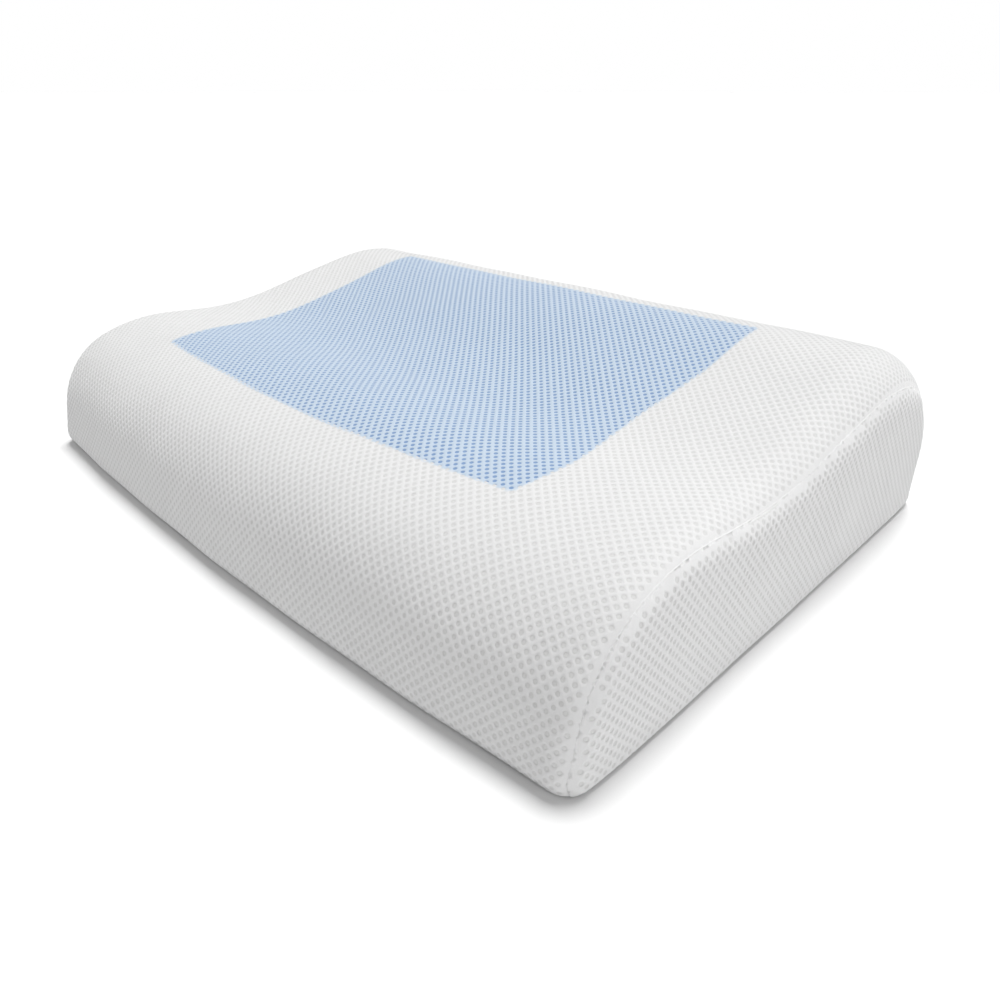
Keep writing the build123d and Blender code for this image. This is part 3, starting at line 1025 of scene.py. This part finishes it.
def build_bottom_seam():
    """Stitches that join the base cloth to the walls, round the foot of the pillow."""
    z = 1.3 * MM
    p = skin.p[::3]
    front_p, back_p = p[np.abs(p) <= skin.reach[0]], p[np.abs(p) <= BACK_P]
    front = skin.place(front_p, np.full_like(front_p, 0.5 * MM), 0 * front_p)
    back = back_wall(back_p, np.full_like(back_p, z))
    y = np.linspace(front[-1, 1], back[-1, 1], 160)
    foot = np.column_stack([y, np.full_like(y, z)])
    right = np.column_stack([end_x(foot), foot])[2:-2]
    left = right[::-1] * (-1, 1, 1)
    runs = ((front, (0, -1, 0)), (right, (1, 0, 0)), (back, (0, 1, 0)), (left, (-1, 0, 0)))
    rows = [stitches(path, path * 0 + out, 2.6 * MM, 0.9 * MM, 0.15 * MM) for path, out in runs]
    finish_piece(mesh_from("foot_stitches", *join(rows)), "thread", ["bottom_seam"])


build_end_seam(RIGHT, "end_stitches_right", "end_seam_right")
build_end_seam(LEFT, "end_stitches_left", "end_seam_left")
build_bottom_seam()


# ---------------- zip

def build_tape(name, node):
    """Woven tape, very slightly rippled between the hems."""
    tape_low, tape_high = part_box(node)
    x = np.linspace(tape_low.x, tape_high.x, 280)
    z = np.linspace(tape_low.z, tape_high.z, 9)
    xx, zz = np.meshgrid(x, z, indexing="ij")
    ripple = 0.08 * MM * np.sin(xx * 150 + 2 * np.sin(xx * 31)) * np.sin((zz - tape_low.z) * 270)
    points = np.stack([xx, tape_high.y - 0.1 * MM + ripple, zz], -1)
    piece = mesh_from(name, points.reshape(-1, 3), grid_faces(280, 9)[:, ::-1])
    finish_piece(piece, "zip_tape", [node])
    return piece, (tape_high.x - tape_low.x, tape_high.z - tape_low.z)


def build_coil(name, node, phase):
    """A nylon coil: one turn of monofilament per tooth, reaching between the other coil's teeth."""
    coil_low, coil_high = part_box(node)
    steps = 14
    turns = (coil_high.x - coil_low.x) / COIL_PITCH
    theta = np.linspace(0, 2 * math.pi * (turns - 0.5), int(turns * steps)) + phase
    lower = node.endswith("lower")
    outer = coil_low.z + COIL_WIRE if lower else coil_high.z - COIL_WIRE
    inner = ZIP_Z + (COIL_MESHING if lower else -COIL_MESHING)
    squareness = np.tanh(2.2 * np.sin(theta)) / math.tanh(2.2)
    z = (outer + inner) / 2 + (inner - outer) / 2 * squareness
    y_mid = (coil_low.y + coil_high.y) / 2
    y = y_mid + ((coil_high.y - coil_low.y) / 2 - COIL_WIRE) * np.cos(theta)
    x = coil_low.x + COIL_PITCH * (theta / (2 * math.pi)) + 0.3 * MM
    path = np.column_stack([x, y, z])
    out = np.column_stack([np.ones_like(x), 0 * x, 0 * x])
    finish_piece(mesh_from(name, *tube(path, out, COIL_WIRE, 5)), "zip_nylon", [node])


def build_zip_stitches():
    """Two rows of topstitching that hold the hems to the tapes, closed off by a bar tack at each end."""
    low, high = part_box("zip_stitching")
    y = BACK_Y + 0.05 * MM
    rows = []
    for z in (low.z + 0.4 * MM, high.z - 0.4 * MM):
        path = np.linspace((low.x + 1 * MM, y, z), (high.x - 1 * MM, y, z), 60)
        rows.append(stitches(path, path * 0 + OUT_OF_BACK))
    for x in (low.x + 0.6 * MM, high.x - 0.6 * MM):
        for offset in (-0.5 * MM, 0, 0.5 * MM):
            path = np.linspace((x + offset, y, low.z + 0.8 * MM), (x + offset, y, high.z - 0.8 * MM), 60)
            rows.append(stitches(path, path * 0 + OUT_OF_BACK, 1.7 * MM, 0.3 * MM))
    finish_piece(mesh_from("zip_topstitching", *join(rows)), "thread", ["zip_stitching"])


def build_label():
    """A blank satin care label sewn in at the zip's seam, curling a little away from the cloth."""
    low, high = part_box("care_label")
    u, v = np.meshgrid(np.linspace(-1, 1, 24), np.linspace(0, 1, 22), indexing="ij")
    x = (low.x + high.x) / 2 + u * (high.x - low.x) / 2
    z = high.z - v * (high.z - low.z)
    y = high.y + 0.1 * MM + 1.5 * MM * v**2 + 0.3 * MM * v * u**2 + 0.15 * MM * np.sin(3 * u + 1) * v
    points = np.stack([x, y, z], -1).reshape(-1, 3)
    piece = mesh_from("satin_label", points, grid_faces(24, 22))
    finish_piece(piece, "label_satin", ["care_label"])
    return piece, (high.x - low.x, high.z - low.z)


tape_pieces = [build_tape("tape_upper", "zip_tape_upper"), build_tape("tape_lower", "zip_tape_lower")]
build_coil("coil_upper", "zip_coil_upper", 0.0)
build_coil("coil_lower", "zip_coil_lower", math.pi)
build_zip_stitches()
label_piece, label_flat = build_label()


def build_label_tack():
    """The row of stitches that holds the label's top edge."""
    low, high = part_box("care_label")
    y, z = high.y + 0.12 * MM, high.z - 1.3 * MM
    path = np.linspace((low.x + 0.8 * MM, y, z), (high.x - 0.8 * MM, y, z), 40)
    tack = stitches(path, path * 0 + OUT_OF_BACK, 1.9 * MM, 0.6 * MM, 0.16 * MM)
    finish_piece(mesh_from("label_tack", *tack), "thread")


def build_hard_part(name, node, body, slot, edge):
    """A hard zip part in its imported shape, with its edges broken."""
    shape = bmesh.new()
    shape.from_mesh(nodes[node].data)
    bmesh.ops.remove_doubles(shape, verts=shape.verts, dist=0.005 * MM)
    bmesh.ops.dissolve_limit(shape, angle_limit=math.radians(2), verts=shape.verts, edges=shape.edges)
    sharp = [e for e in shape.edges if len(e.link_faces) == 2 and e.calc_face_angle(0) > math.radians(35)]
    bmesh.ops.bevel(
        shape, geom=sharp, offset=edge, segments=2, profile=0.5, affect="EDGES", clamp_overlap=True)
    bmesh.ops.triangulate(shape, faces=shape.faces)
    mesh = bpy.data.meshes.new(name)
    shape.to_mesh(mesh)
    shape.free()
    mesh.polygons.foreach_set("use_smooth", [False] * len(mesh.polygons))
    piece = bpy.data.objects.new(name, mesh)
    bpy.context.scene.collection.objects.link(piece)
    finish_piece(piece, slot, [node], body)


build_label_tack()
build_hard_part("slider_body", "zip_slider", "slider", "zip_metal", 0.18 * MM)
build_hard_part("pull_tab_body", "zip_pull_tab", "pull_tab", "zip_metal", 0.22 * MM)
build_hard_part("top_stops", "zip_top_stops", BODY, "zip_nylon", 0.2 * MM)
build_hard_part("bottom_stop", "zip_bottom_stop", BODY, "zip_nylon", 0.2 * MM)


# ---------------- stage, light, camera

def build_floor():
    """A pale plain floor that runs on past the horizon."""
    bpy.ops.mesh.primitive_plane_add(size=FLOOR_SIZE, location=(0, 0, 0))
    floor = bpy.context.object
    floor.name = "floor"
    s = Shader("pale floor", Roughness=0.9)
    s.bsdf.inputs["Base Color"].default_value = (FLOOR_GREY, FLOOR_GREY, FLOOR_GREY, 1)
    s.bsdf.inputs["Specular IOR Level"].default_value = 0.1
    floor.data.materials.append(s.material)


def soft_sun(name, toward, strength, spread):
    """A distant soft light that shines along toward, spread being its width in degrees."""
    data = bpy.data.lights.new(name, "SUN")
    data.energy, data.angle = strength, math.radians(spread)
    lamp = bpy.data.objects.new(name, data)
    lamp.rotation_euler = Vector(toward).to_track_quat("-Z", "Y").to_euler()
    bpy.context.scene.collection.objects.link(lamp)


def build_light():
    """A white studio: bright walls, a dimmer ceiling and a soft lamp overhead from behind."""
    world = bpy.data.worlds.new("studio")
    bpy.context.scene.world = world
    world.use_nodes = True
    tree = world.node_tree

    def ramp(value, *limits):
        made = tree.nodes.new("ShaderNodeMapRange")
        tree.links.new(value, made.inputs["Value"])
        for socket, limit in zip(("From Min", "From Max", "To Min", "To Max"), limits):
            if isinstance(limit, bpy.types.NodeSocket):
                tree.links.new(limit, made.inputs[socket])
            else:
                made.inputs[socket].default_value = limit
        return made.outputs["Result"]

    where = tree.nodes.new("ShaderNodeTexCoord")
    split = tree.nodes.new("ShaderNodeSeparateXYZ")
    tree.links.new(where.outputs["Generated"], split.inputs[0])
    front_wall = ramp(split.outputs["Y"], -0.8, 0.0, 0.9, 1.0)
    wall = ramp(split.outputs["Z"], 0.05, 0.14, 1.0, front_wall)
    strength = ramp(split.outputs["Z"], 0.14, 0.6, wall, 0.2)
    background = tree.nodes["Background"]
    background.inputs["Color"].default_value = (1, 1, 1, 1)
    tree.links.new(strength, background.inputs["Strength"])
    soft_sun("overhead", (0.10, -0.31, -1.0), 3.0, 20)
    soft_sun("side", (-1.0, 0.1, -0.4), 0.68, 60)
    bpy.context.scene.view_settings.view_transform = "Standard"


def build_camera():
    """The camera, in front of the pillow's right end and above it."""
    data = bpy.data.cameras.new("camera")
    data.lens, data.sensor_width = CAMERA_LENS, CAMERA_SENSOR
    camera = bpy.data.objects.new("camera", data)
    camera.location = CAMERA_AT
    camera.rotation_euler = Vector(CAMERA_TOWARD).to_track_quat("-Z", "Y").to_euler()
    bpy.context.scene.collection.objects.link(camera)
    bpy.context.scene.camera = camera


build_floor()
build_light()
build_camera()
